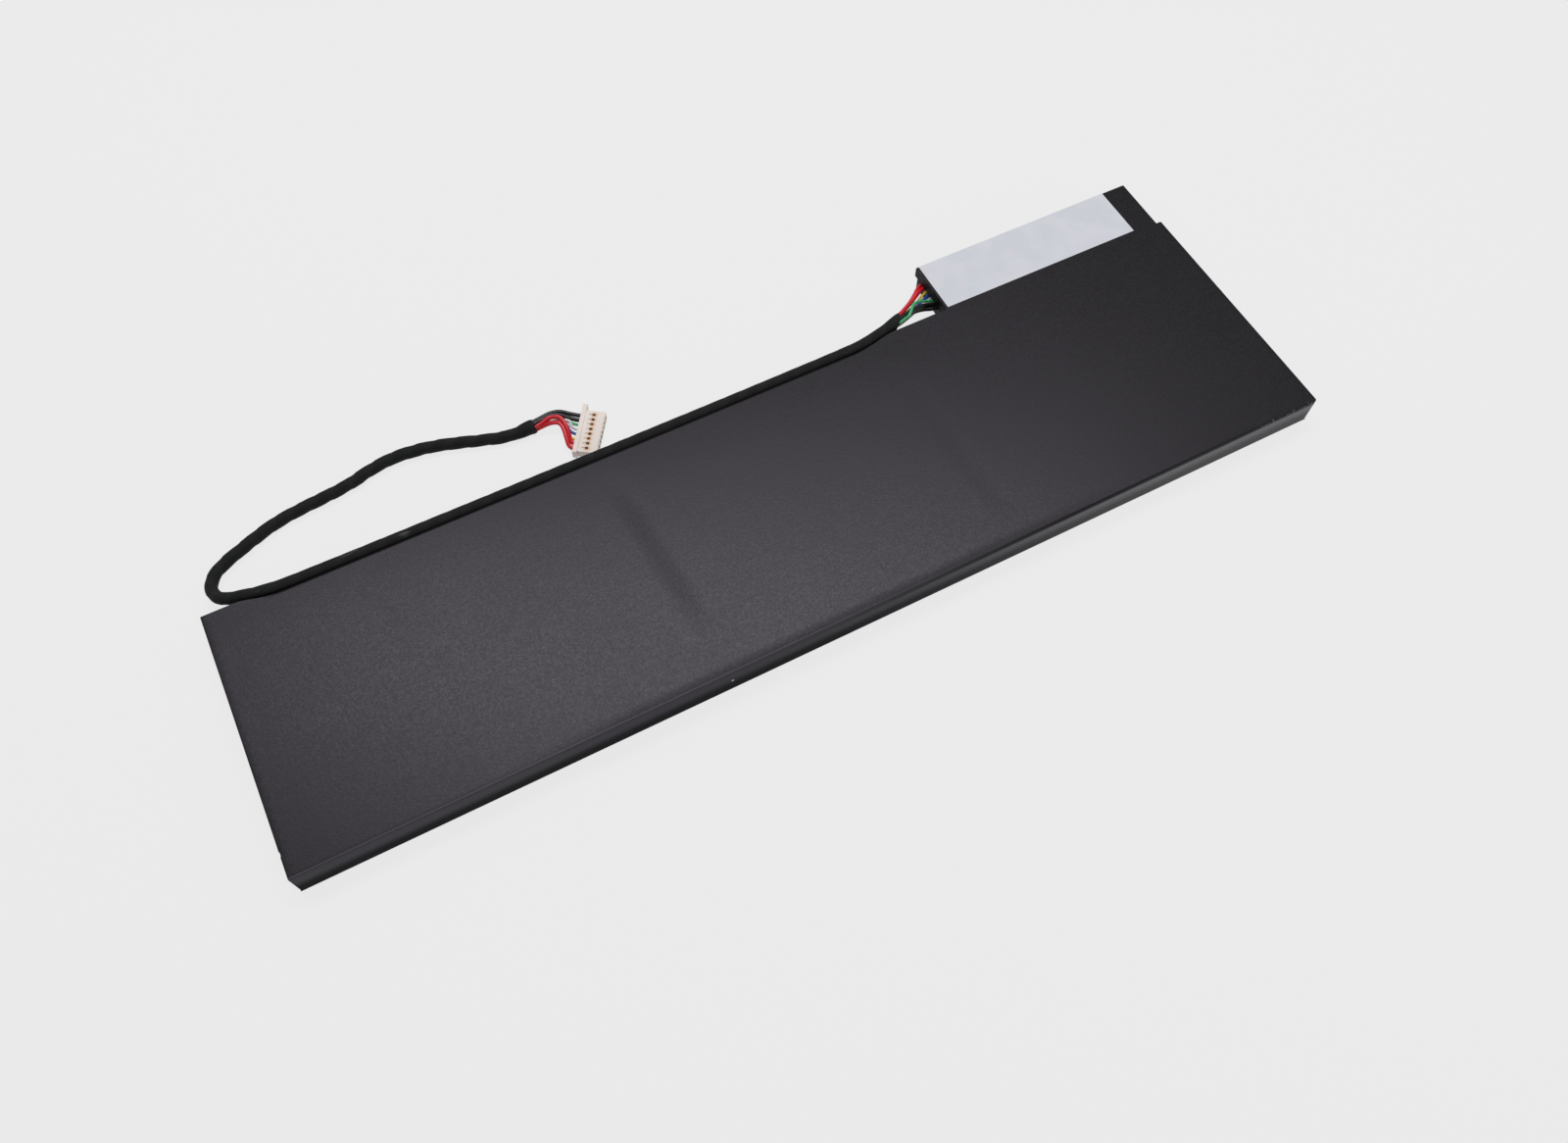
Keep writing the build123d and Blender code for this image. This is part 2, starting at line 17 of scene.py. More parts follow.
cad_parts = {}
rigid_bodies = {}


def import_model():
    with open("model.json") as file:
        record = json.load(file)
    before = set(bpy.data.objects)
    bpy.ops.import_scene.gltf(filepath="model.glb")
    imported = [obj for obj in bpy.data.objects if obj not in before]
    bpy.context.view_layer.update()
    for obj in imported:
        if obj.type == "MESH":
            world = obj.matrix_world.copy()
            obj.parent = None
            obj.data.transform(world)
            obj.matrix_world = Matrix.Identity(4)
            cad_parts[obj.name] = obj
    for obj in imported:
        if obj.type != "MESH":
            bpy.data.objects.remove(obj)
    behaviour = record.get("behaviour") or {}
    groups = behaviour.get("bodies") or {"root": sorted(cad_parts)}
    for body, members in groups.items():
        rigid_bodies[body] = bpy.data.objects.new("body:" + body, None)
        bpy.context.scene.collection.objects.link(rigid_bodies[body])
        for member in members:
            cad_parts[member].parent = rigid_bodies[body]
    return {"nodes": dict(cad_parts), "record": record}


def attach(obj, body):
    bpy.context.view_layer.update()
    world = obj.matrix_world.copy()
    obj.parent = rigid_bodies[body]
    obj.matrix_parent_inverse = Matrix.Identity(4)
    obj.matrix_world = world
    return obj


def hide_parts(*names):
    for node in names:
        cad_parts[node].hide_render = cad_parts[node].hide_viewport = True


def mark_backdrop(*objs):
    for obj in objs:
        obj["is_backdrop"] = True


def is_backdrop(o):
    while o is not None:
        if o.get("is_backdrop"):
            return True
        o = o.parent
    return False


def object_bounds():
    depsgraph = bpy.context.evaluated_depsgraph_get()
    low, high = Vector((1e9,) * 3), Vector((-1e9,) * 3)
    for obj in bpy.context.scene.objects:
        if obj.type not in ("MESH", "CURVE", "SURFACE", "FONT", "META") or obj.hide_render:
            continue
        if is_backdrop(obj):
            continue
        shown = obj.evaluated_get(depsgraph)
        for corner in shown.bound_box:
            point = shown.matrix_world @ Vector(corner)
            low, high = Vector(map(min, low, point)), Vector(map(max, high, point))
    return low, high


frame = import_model()
cad_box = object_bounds()
nodes = frame["nodes"]
scene = bpy.context.scene
MM = 0.001
print("solids loaded:", len(nodes), "box", [[round(v, 4) for v in corner] for corner in cad_box])

# %% [markdown]
# ## The camera
# The photograph was taken from above the front left, a little rolled. Six corners of the slab were
# matched to a pinhole camera, which gave the place, the direction and the lens below. Building the
# camera's three axes by hand shows what Blender stores: right, up and backwards are the columns of
# its matrix.


# %% Set up the camera
def camera_axes(forward, roll):
    """Right and up of a camera that looks along forward, rolled so that its right side rises."""
    level = forward.cross(Vector((0, 0, 1))).normalized()
    upright = level.cross(forward)
    right = level * cos(roll) + upright * sin(roll)
    return right, right.cross(forward)


eye = Vector((-78.216, -149.816, 273.939)) * MM
look = Vector((0.2270, 0.4151, -0.8810)).normalized()
right_axis, up_axis = camera_axes(look, radians(1.41))
lens = bpy.data.cameras.new("camera")
lens.sensor_width = 36.0
lens.lens = 28.863
lens.sensor_fit = "HORIZONTAL"
lens.clip_start = 0.01
camera = bpy.data.objects.new("camera", lens)
turn = Matrix((right_axis, up_axis, -look)).transposed()
camera.matrix_world = Matrix.Translation(eye) @ turn.to_4x4()
scene.collection.objects.link(camera)
scene.camera = camera


def photo_pixel(point):
    """Where a point in millimetres falls in the 1600 by 1166 photograph."""
    ray = Vector(point) * MM - eye
    scale = 1600 * lens.lens / lens.sensor_width / ray.dot(look)
    return 800 + ray.dot(right_axis) * scale, 583 - ray.dot(up_axis) * scale


for name, corner in (("back left", (-137, 26.55, 8.7)), ("front right", (137, -42.95, 8.7))):
    print(name, "corner at pixel", [round(v, 1) for v in photo_pixel(corner)])

# %% [markdown]
# ## Writing shaders as sums
# A material is a graph of nodes, and graphs are slow to read as code. Two small classes help: Value
# wraps a socket so that plain arithmetic adds Math nodes, and Finish owns one material and makes any
# other node from its type, its settings and what goes into its sockets. Whatever is the same all over
# a surface is set on the shader itself.


# %% Value and Finish
class Value:
    """A number that changes over a surface, as arithmetic sees it."""

    def __init__(self, finish, socket):
        self.finish = finish
        self.socket = socket

    def math(self, operation, *others):
        terms = dict(enumerate((self,) + others))
        return self.finish.node("ShaderNodeMath", {"operation": operation}, terms)

    def flipped(self, operation, other):
        return self.finish.node("ShaderNodeMath", {"operation": operation}, {0: other, 1: self})

    def __add__(self, other):
        return self.math("ADD", other)

    __radd__ = __add__

    def __sub__(self, other):
        return self.math("SUBTRACT", other)

    def __rsub__(self, other):
        return self.flipped("SUBTRACT", other)

    def __mul__(self, other):
        return self.math("MULTIPLY", other)

    __rmul__ = __mul__

    def __truediv__(self, other):
        return self.math("DIVIDE", other)

    def __pow__(self, other):
        return self.math("POWER", other)

    def step(self, low, high):
        """0 below low, 1 above high and a soft rise between, the other way round if low is above high."""
        limits = {0: self, 1: min(low, high), 2: max(low, high), 3: 0.0, 4: 1.0}
        if low > high:
            limits[3], limits[4] = 1.0, 0.0
        return self.finish.node("ShaderNodeMapRange", {"interpolation_type": "SMOOTHSTEP"}, limits)


def paint(red, green, blue):
    """A screen colour from 0 to 255 as the linear colour that shaders use."""
    parts = [v / 255 for v in (red, green, blue)]
    linear = [v / 12.92 if v <= 0.04045 else ((v + 0.055) / 1.055) ** 2.4 for v in parts]
    return (*linear, 1.0)


class Finish:
    """One material: its tree, its shader and the nodes that feed it."""

    def __init__(self, name, **constants):
        self.material = bpy.data.materials.new(name)
        self.material.use_nodes = True
        self.tree = self.material.node_tree
        self.shader = self.tree.nodes["Principled BSDF"]
        for socket, value in constants.items():
            self.shader.inputs[socket.replace("_", " ")].default_value = value

    def node(self, kind, settings=None, sockets=None, out=0):
        made = self.tree.nodes.new(kind)
        for key, value in (settings or {}).items():
            setattr(made, key, value)
        for key, value in (sockets or {}).items():
            self.feed(made.inputs[key], value)
        return Value(self, made.outputs[out])

    def feed(self, socket, value):
        if isinstance(value, Value):
            self.tree.links.new(value.socket, socket)
        else:
            socket.default_value = value

    def places(self):
        """Object coordinates, which are the CAD frame's metres on every piece."""
        return self.node("ShaderNodeTexCoord", out="Object")

    def axes(self):
        split = self.node("ShaderNodeSeparateXYZ", sockets={0: self.places()})
        return [Value(self, split.socket.node.outputs[axis]) for axis in range(3)]

    def noise(self, size, detail=2.0, stretch=(1, 1, 1)):
        """Soft noise from 0 to 1 whose blobs are about size millimetres across."""
        spread = {"Vector": self.places(), "Scale": tuple(v / (size * MM) for v in stretch)}
        mapped = self.node("ShaderNodeMapping", {"vector_type": "POINT"}, spread)
        return self.node("ShaderNodeTexNoise", None, {"Vector": mapped, "Scale": 1.0, "Detail": detail})

    def attribute(self, name):
        return self.node("ShaderNodeAttribute", {"attribute_name": name}, out="Fac")

    def mix(self, share, first, second):
        """The first colour where share is 0 and the second where it is 1."""
        return self.node("ShaderNodeMix", {"data_type": "RGBA"}, {0: share, 6: first, 7: second}, out=2)

    def wear(self, colour=None, roughness=None, metallic=None, height=None, depth=0.05):
        """Sends what varies to the shader. A height in units of depth millimetres becomes a bump."""
        inputs = (("Base Color", colour), ("Roughness", roughness), ("Metallic", metallic))
        for socket, value in inputs:
            if value is not None:
                self.feed(self.shader.inputs[socket], value)
        if height is not None:
            bump = {"Height": height, "Distance": depth * MM, "Strength": 1.0}
            self.feed(self.shader.inputs["Normal"], self.node("ShaderNodeBump", None, bump))
        return self.material


print("shader helpers ready")

# %% [markdown]
# ## Floor and light
# The pack lies on a plain pale table in even light. A floor that mostly glows by itself keeps the
# paleness level over the whole picture, and the part of it that is lit still takes a faint contact
# shadow. The film's top gets its tone from what it mirrors, so a long strip lamp hangs behind the pack,
# where the left two thirds of the film reflect it, and a smaller lamp lights the front at the right end.
# The front wall's light and shade are also painted into the film's colour.


# %% Floor, sky and lamps
lit_share = 0.06


def pale_floor():
    finish = Finish("floor_paint", Roughness=0.9, Specular_IOR_Level=0.1)
    grain = finish.noise(60, 1.0)
    colour = finish.mix(grain, paint(248, 248, 248), paint(251, 251, 251))
    finish.feed(finish.shader.inputs["Base Color"], colour)
    glow = finish.node("ShaderNodeEmission", None, {"Color": paint(235, 235, 235), "Strength": 1.0})
    body = Value(finish, finish.shader.outputs[0])
    both = finish.node("ShaderNodeMixShader", None, {0: lit_share, 1: glow, 2: body})
    finish.tree.links.new(both.socket, finish.tree.nodes["Material Output"].inputs["Surface"])
    shape = bmesh.new()
    bmesh.ops.create_grid(shape, x_segments=2, y_segments=2, size=3.0)
    mesh = bpy.data.meshes.new("floor")
    shape.to_mesh(mesh)
    shape.free()
    mesh.materials.append(finish.material)
    floor = bpy.data.objects.new("floor", mesh)
    floor.location.z = cad_box[0].z - 0.02 * MM
    scene.collection.objects.link(floor)
    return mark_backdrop(floor)


def soft_lamp(name, place, aim, size, power):
    data = bpy.data.lights.new(name, "AREA")
    data.shape = "RECTANGLE"
    data.size, data.size_y = size
    data.energy = power
    lamp = bpy.data.objects.new(name, data)
    lamp.location = place
    lamp.rotation_euler = (Vector(aim) - Vector(place)).to_track_quat("-Z", "Y").to_euler()
    scene.collection.objects.link(lamp)
    return lamp


scene.view_settings.view_transform = "Standard"
sky = bpy.data.worlds.new("studio")
sky.use_nodes = True
sky.node_tree.nodes["Background"].inputs["Color"].default_value = (0.27, 0.27, 0.28, 1)
sky.node_tree.nodes["Background"].inputs["Strength"].default_value = 1.0
scene.world = sky
pale_floor()
soft_lamp("lamp_behind", (0.066, 0.264, 0.68), (-0.04, -0.01, 0.0), (0.712, 0.08), 3.6)
soft_lamp("lamp_right_front", (0.42, -0.38, 0.22), (0.12, -0.04, 0.0), (0.25, 0.2), 0.5)

# %% [markdown]
# ## Finishes
# The film is a charcoal plastic with a fine speckled grain. The sleeve is dull cloth tape, the wires
# are glossy vinyl, the plug is ivory nylon with gold contacts. Each finish mixes two or three near
# colours by noise at the size of the real grain, and the same noise gives the bump and the gloss.


# %% The film over the top
# Each crease: its x in millimetres at y = 0, its slant, the y where it fades in and out, and its strength.
creases = ((-34.94, 0.066, (-36, -14, 8, 21), 1.0), (45.5, 0.011, (-42, -30, -4, 12), 0.35))


def satin_film(name, speck=None):
    finish = Finish(name, Specular_IOR_Level=0.30, Specular_Tint=(0.95, 0.89, 1.0, 1.0))
    x, y, z = finish.axes()
    grain = finish.noise(0.5, 2.0)
    cloud = finish.noise(26, 3.0)
    base = finish.mix(cloud, paint(13, 13, 14), paint(17, 16, 18))
    colour = finish.mix(grain.step(0.40, 0.66), base, paint(22, 21, 24))
    crease = 0.0
    for place, slant, (start, full, fade, end), strength in creases:
        off = (x + slant * y - place * MM).math("ABSOLUTE").step(4.4 * MM, 0.6 * MM)
        along = y.step(start * MM, full * MM) * y.step(end * MM, fade * MM)
        crease = off * along * strength + crease
    wall = y.step(-42.50 * MM, -42.80 * MM)
    leftward = x.step(0.070, -0.040)
    upper = z.step(2.2 * MM, 6.4 * MM)
    rolled = z.step(7.9 * MM, 8.4 * MM)
    # Painted shade and light on the left part of the front wall: near black low down, lighter grey towards
    # its top.
    colour = finish.mix(wall * leftward, colour, finish.mix(upper, paint(5, 5, 6), paint(62, 60, 65)))
    # A painted highlight along the rolled top of the front edge at the left.
    colour = finish.mix(y.step(-42.25 * MM, -42.50 * MM) * leftward * rolled, colour, paint(65, 63, 68))
    sharp = wall * (1 - leftward)
    edge = sharp * z.step(7.1 * MM, 7.4 * MM)
    # Painted light on the right part of the front wall: a lighter grey band below its top.
    colour = finish.mix(sharp * upper * z.step(7.3 * MM, 6.9 * MM), colour, paint(72, 71, 74))
    # A painted highlight: ragged pale specks along the top of the front wall at its right end, where the
    # film is also rougher.
    ragged = finish.noise(0.7, 2.0, (0.6, 1, 1))
    painted_edge_glint = edge * x.step(0.116, 0.127) * ragged.step(0.56, 0.66)
    colour = finish.mix(painted_edge_glint, colour, paint(104, 102, 106))
    if speck:
        ends = {0: finish.places(), 1: speck}
        away = finish.node("ShaderNodeVectorMath", {"operation": "DISTANCE"}, ends, out=1)
        colour = finish.mix(away.step(0.42 * MM, 0.22 * MM), colour, paint(200, 198, 196))
    # Painted shadow: a near-black, rougher strip along the film's edge at the channel, where the cable lies
    # against it.
    painted_gap_shadow = y.step(24.10 * MM, 24.40 * MM) * x.step(-0.123, -0.117) * x.step(0.043, 0.036)
    colour = finish.mix(painted_gap_shadow, colour, paint(7, 7, 8))
    roughness = 0.25 + 0.5 * painted_gap_shadow + 0.25 * grain + 0.03 * cloud + 0.06 * crease
    handled = y.step(-39.6 * MM, -42.3 * MM) * x.step(-0.095, -0.045) * x.step(0.100, 0.030)
    roughness = roughness + 0.12 * handled + wall * leftward * (0.60 - 0.18 * upper)
    roughness = roughness + 0.4 * edge + 0.10 * sharp * (1 - upper)
    return finish.wear(colour, roughness, None, grain, 0.016)


film_finish = satin_film("satin_film", (-32.6 * MM, -42.95 * MM, 4.5 * MM))
under_film_finish = satin_film("under_film")
print("film finishes:", film_finish.name, under_film_finish.name)


# %% Moulding, sticker and tape
def moulded_black(name):
    finish = Finish(name, Specular_IOR_Level=0.16)
    spark = finish.noise(0.25, 2.0)
    cloud = finish.noise(9, 2.0)
    colour = finish.mix(cloud, paint(9, 9, 10), paint(15, 15, 16))
    return finish.wear(colour, 0.50 + 0.14 * spark, None, spark, 0.02)


def sticker_paper(name):
    finish = Finish(name, Specular_IOR_Level=0.25)
    fibre = finish.noise(0.5, 3.0)
    cool = finish.noise(7, 2.0)
    warm = finish.noise(5, 2.0, (1, 1.6, 1))
    colour = finish.mix(cool.step(0.35, 0.70), paint(209, 212, 219), paint(216, 217, 224))
    colour = finish.mix(warm.step(0.50, 0.75) * 0.6, colour, paint(219, 215, 219))
    colour = finish.mix(fibre.step(0.55, 0.80) * 0.25, colour, paint(199, 203, 211))
    return finish.wear(colour, 0.55 + 0.1 * fibre, None, fibre, 0.01)


def cloth_tape(name):
    """Dull woven tape: its threads follow the sleeve, by the two lengths that the sleeve's mesh carries."""
    finish = Finish(name, Specular_IOR_Level=0.22)
    along = finish.attribute("along")
    around = finish.attribute("around")
    lap = finish.attribute("lap")
    warp = (along * (2 * pi / (0.55 * MM))).math("SINE")
    weft = (around * (2 * pi * 18)).math("SINE")
    weave = warp * weft * 0.5 + 0.5
    dust = finish.noise(1.3, 3.0)
    colour = finish.mix(weave, paint(25, 26, 26), paint(33, 34, 34))
    colour = finish.mix(dust.step(0.60, 0.80) * 0.5, colour, paint(48, 48, 49))
    x, y, z = finish.axes()
    # Painted highlight: light streaks along the top of the cable where it lies in the channel, where the
    # tape is also glossier.
    streak = finish.noise(2.6, 2.0, (0.25, 1.4, 1.4))
    channel = x.step(-0.128, -0.12) * x.step(0.046, 0.036) * z.step(8.4 * MM, 8.9 * MM)
    painted_top_glint = streak.step(0.66, 0.72) * channel
    colour = finish.mix(painted_top_glint * 0.45, colour, paint(96, 96, 98))
    colour = finish.mix(lap.step(0.55, 1.0) * 0.4, colour, paint(20, 20, 21))
    return finish.wear(colour, 0.78 - 0.25 * painted_top_glint + 0.08 * dust, None, weave * 0.5 + dust * 0.5, 0.05)


moulding_finish = moulded_black("moulded_black")
sticker_finish = sticker_paper("sticker_paper")
tape_finish = cloth_tape("cloth_tape")
print("moulding, sticker and tape ready")


# %% Wires, plug and contacts
def vinyl(name, deep, bright):
    finish = Finish(name, Specular_IOR_Level=0.5, Coat_Roughness=0.2)
    smear = finish.noise(1.6, 2.0)
    fine = finish.noise(0.3, 2.0)
    colour = finish.mix(smear, paint(*deep), paint(*bright))
    return finish.wear(colour, 0.24 + 0.16 * smear, None, fine, 0.01)


def ivory_nylon(name):
    """Warm nylon that takes a brown glow from the gold behind each of its windows."""
    finish = Finish(name, Specular_IOR_Level=0.4, Subsurface_Weight=0.12, Subsurface_Scale=0.6 * MM)
    flow = finish.noise(3.0, 2.0)
    fine = finish.noise(0.25, 2.0)
    x, y, z = finish.axes()
    x, y = x - plug_centre.x * MM, y - plug_centre.y * MM
    along = x * cos(plug_turn) + y * sin(plug_turn)
    across = y * cos(plug_turn) - x * sin(plug_turn)
    beside = ((across / (1.5 * MM)).math("FRACT") - 0.5) * (1.5 * MM)
    away = (beside * beside + (along - 0.1 * MM) ** 2 * 0.6).math("SQRT")
    colour = finish.mix(flow, paint(230, 217, 207), paint(240, 231, 224))
    glow = away.step(1.0 * MM, 0.35 * MM) * across.math("ABSOLUTE").step(6.4 * MM, 5.9 * MM)
    colour = finish.mix(glow * 0.6, colour, paint(206, 156, 100))
    return finish.wear(colour, 0.38 + 0.12 * flow, None, fine, 0.012)


def gilt(name):
    finish = Finish(name)
    tarnish = finish.noise(0.7, 3.0)
    colour = finish.mix(tarnish.step(0.4, 0.7), paint(150, 98, 46), paint(82, 50, 22))
    return finish.wear(colour, 0.28 + 0.2 * tarnish, 1.0 - 0.25 * tarnish, tarnish, 0.015)


plug_turn = radians(-34.0)
plug_centre = Vector((-34.1, 37.7, 0.0))
wire_colours = {
    "red": ((190, 20, 34), (220, 34, 48)),
    "yellow": ((240, 208, 60), (250, 228, 100)),
    "blue": ((30, 58, 138), (52, 88, 172)),
    "white": ((206, 208, 210), (230, 231, 232)),
    "green": ((44, 156, 96), (80, 190, 126)),
    "black": ((15, 15, 16), (26, 26, 27)),
}
wire_finishes = {name: vinyl("vinyl_" + name, *pair) for name, pair in wire_colours.items()}
nylon_finish = ivory_nylon("ivory_nylon")
gilt_finish = gilt("gilt_contact")
print("wire finishes:", sorted(wire_finishes))


# %% [markdown]
# ## What the film hides
# The cells, their tabs and strips and the board are inside and show only if the film is taken off.
# They keep their CAD shapes, and a maker would still know each of them by its finish: pouch foil,
# nickel, foam, glass-fibre board and moulded chips.


# %% Finishes of the inner parts
def plain_finish(name, dark, light, grain, roughness, metal=0.0, depth=0.01):
    finish = Finish(name)
    cloud = finish.noise(grain * 6, 2.0)
    fine = finish.noise(grain, 3.0)
    colour = finish.mix(cloud * 0.6 + fine * 0.4, paint(*dark), paint(*light))
    metallic = metal - 0.1 * fine if metal else None
    return finish.wear(colour, roughness + 0.12 * fine, metallic, fine, depth)


inner_finishes = {
    "pouch": plain_finish("pouch_foil", (150, 152, 156), (186, 188, 192), 0.8, 0.3, 0.9),
    "tape": plain_finish("clear_tape", (206, 204, 192), (226, 224, 214), 0.6, 0.5),
    "nickel": plain_finish("nickel_strip", (168, 164, 156), (198, 194, 186), 0.3, 0.25, 1.0),
    "tab_aluminium": plain_finish("aluminium_tab", (176, 178, 182), (206, 208, 212), 0.3, 0.3, 1.0),
    "foam": plain_finish("black_foam", (34, 34, 35), (52, 52, 53), 0.35, 0.85, 0.0, 0.08),
    "board": plain_finish("board_mask", (12, 62, 44), (22, 84, 60), 0.5, 0.35),
    "chip": plain_finish("chip_resin", (24, 24, 25), (38, 38, 39), 0.12, 0.6, 0.0, 0.02),
    "passive": plain_finish("ceramic_part", (150, 128, 104), (182, 158, 130), 0.15, 0.4),
}
slot_finishes = dict(inner_finishes, film=under_film_finish, moulding=moulding_finish, label=sticker_finish)
slot_finishes.update(sleeve=tape_finish, plug=nylon_finish, contact=gilt_finish)
slot_finishes.update({"wire_" + name: finish for name, finish in wire_finishes.items()})


def dress_solids():
    """Gives each CAD node the finish of the record's slot that it belongs to."""
    for entry in frame["record"]["subparts"]:
        solid = nodes[entry["node"]]
        solid.data.materials.clear()
        solid.data.materials.append(slot_finishes[entry["material_slot"]])
    return len(frame["record"]["subparts"])


print("solids dressed:", dress_solids(), "of", len(nodes))

# %% [markdown]
# ## The top film
# On the real pack one film lies over the cells, rolls over the front and the ends and is folded down
# the walls. It is cut off along the cable's channel and at the bay's open end. A box with bevels
# would be too hard, so the film is drawn as its outline, rolled in rings over the wrapped edges and
# filled with a fine net whose height follows two shallow creases and a fall towards the channel.
# Solidify gives it its thickness towards the inside.

# %% The film's outline
left, right_end, front, back = -137.0, 137.0, -42.95, 42.95
slab_back, channel_wall, top, film_bottom = 26.55, 24.65, 8.7, 0.15
bay_start, bay_end, tray_start, skirt_bottom = 66.35, 135.5, 67.35, 5.45
film_thickness = 0.15
roll = 0.4


def arc(centre, radius, start, end, count=6):
    turns = [radians(start + (end - start) * step / count) for step in range(count + 1)]
    return [(centre[0] + radius * cos(a), centre[1] + radius * sin(a)) for a in turns]


def eased(first, last, count=10):
    """A soft S from one point to another along x, as the channel's wall bends."""
    shares = [step / count for step in range(count + 1)]
    soft = [share * share * (3 - 2 * share) for share in shares]
    width, depth = last[0] - first[0], last[1] - first[1]
    return [(first[0] + width * t, first[1] + depth * s) for t, s in zip(shares, soft)]


radius = 0.45
nick = [(left, -35.9), (left, -36.3), (left, -36.9), (left, -37.2)]
wrapped = nick + arc((left + radius, front + radius), radius, 180, 270)
wrapped += arc((right_end - radius, front + radius), radius, -90, 0)
wrapped += arc((right_end - radius, slab_back - radius), radius, 0, 90)
wrapped += [(bay_end, slab_back)]
wrapped += arc((bay_end - radius, back - radius), radius, 0, 90)
wrapped += [(tray_start, back), (bay_start, back)]
channel_edge = [(bay_start, slab_back)] + eased((50.0, slab_back), (39.0, channel_wall))
channel_edge += eased((-120.0, channel_wall), (-129.0, slab_back))
outline = [(left, slab_back)] + wrapped + channel_edge
folded = [True] * (len(wrapped) + 1) + [False] * len(channel_edge)


def subdivided(points, flags, spacing=2.4):
    """Cuts the outline's straight runs so that the net has a point every few millimetres."""
    out, kept = [], []
    for index, (start, flag) in enumerate(zip(points, flags)):
        end = points[(index + 1) % len(points)]
        both = flag and flags[(index + 1) % len(points)]
        cuts = max(1, round(hypot(end[0] - start[0], end[1] - start[1]) / spacing))
        for cut in range(cuts):
            share = cut / cuts
            out.append((start[0] + (end[0] - start[0]) * share, start[1] + (end[1] - start[1]) * share))
            kept.append(flag if cut == 0 else both)
    return out, kept


rim, rim_folded = subdivided(outline, folded)
print("film outline points:", len(rim), "folded:", sum(rim_folded))


# %% The film's height and rings
def film_height(x, y):
    """The film's top: flat over the cells, a little lower along the creases and towards the channel."""
    drop = 0.0
    for place, slant, (start, _, _, end), strength in creases:
        share = max(0.0, 1 - ((x + slant * y - place) / 4.5) ** 2)
        along = min(1.0, max(0.0, (y - start) / 20)) * min(1.0, max(0.0, (end - y) / 12))
        drop += 0.08 * strength * share * share * along
    towards_back = min(1.0, max(0.0, (y - 11.0) / (channel_wall - 11.0)))
    beside_channel = min(1.0, max(0.0, (62.0 - x) / 12.0))
    drop += 0.09 * towards_back ** 2 * beside_channel
    sway = 0.012 * (sin(x / 17.0 + 0.6) * sin(y / 13.0 + x / 41.0) - 1)
    return top - min(0.12, drop - sway)


def inward(points, flags, index):
    """The way into the outline at one point, mitred at corners and only from the folded sides."""
    here = Vector(points[index])
    sides = []
    for first, second in ((index - 1, index), (index, (index + 1) % len(points))):
        run = Vector(points[second]) - Vector(points[first])
        if flags[first] and flags[second]:
            sides.append(Vector((-run.y, run.x)).normalized())
    if not sides:
        return Vector((0, 0))
    if len(sides) == 1:
        return sides[0]
    return (sides[0] + sides[1]) / (1 + sides[0].dot(sides[1]))


def make_film():
    shape = bmesh.new()
    ways = [inward(rim, rim_folded, index) for index in range(len(rim))]
    bends = [(pi / 2) * step / 7 for step in range(8)]
    levels = [(0.0, film_bottom), (0.0, 2.8), (0.0, skirt_bottom)]
    levels += [(roll * (1 - cos(a)), top - roll * (1 - sin(a))) for a in bends]
    rings = []
    for inset, height in levels:
        ring = []
        for point, way, fold in zip(rim, ways, rim_folded):
            place = Vector(point) + way * inset
            if point in nick[1:3] and height > skirt_bottom:
                place.x += 0.33
            share = max(0.0, (height - skirt_bottom) / (top - skirt_bottom))
            lift = height + (film_height(*place) - top) * share
            ring.append(shape.verts.new((place.x, place.y, lift)) if fold else None)
        rings.append(ring)
    last = [v or shape.verts.new((*p, film_height(*p))) for v, p in zip(rings[-1], rim)]
    for level, (lower, upper) in enumerate(zip(rings, rings[1:-1] + [last])):
        for index in range(len(rim)):
            after = (index + 1) % len(rim)
            cut_away = level < 2 and rim[index][1] == back and rim[index][0] <= tray_start
            if rim_folded[index] and rim_folded[after] and not cut_away:
                shape.faces.new((lower[index], lower[after], upper[after], upper[index]))
    fill_net(shape, last)
    for edge in shape.edges:
        edge.smooth = not edge.is_boundary
    return shape


def fill_net(shape, border, spacing=1.6):
    """A net of triangles inside the border, fine enough for the creases to shade softly."""
    points = [v.co.to_2d() for v in border]
    edge_count = len(points)
    across = np.arange(left + 1.5, right_end - 1.5, spacing)
    for row, y in enumerate(np.arange(front + 1.5, back - 1.5, spacing * sqrt(3) / 2)):
        spots = np.stack([across + spacing / 2 * (row % 2), np.full(len(across), y)], 1)
        points += [Vector(spot) for spot in spots[well_inside(spots, points[:edge_count], 0.6)]]
    places, _, faces, source, _, _ = delaunay_2d_cdt(points, [], [list(range(edge_count))], 1, 1e-6)
    made = []
    for place, origin in zip(places, source):
        on_border = [index for index in origin if index < edge_count]
        made.append(border[on_border[0]] if on_border else shape.verts.new((*place, film_height(*place))))
    for face in faces:
        shape.faces.new([made[index] for index in face])


def well_inside(spots, border, distance):
    """Which spots lie inside the border and at least a distance from each of its edges."""
    start = np.array(border)
    run = np.roll(start, -1, axis=0) - start
    away = spots[:, None] - start[None]
    share = np.clip((away * run).sum(2) / (run * run).sum(1), 0, 1)
    nearest = np.linalg.norm(away - share[..., None] * run, axis=2).min(1)
    upward = (start[:, 1] > spots[:, 1:]) != (start[:, 1] + run[:, 1] > spots[:, 1:])
    slope = np.divide(run[:, 0], run[:, 1], out=np.zeros(len(run)), where=run[:, 1] != 0)
    crossed = upward & (spots[:, :1] < start[:, 0] + (spots[:, 1:] - start[:, 1]) * slope)
    return (nearest > distance) & (crossed.sum(1) % 2 == 1)


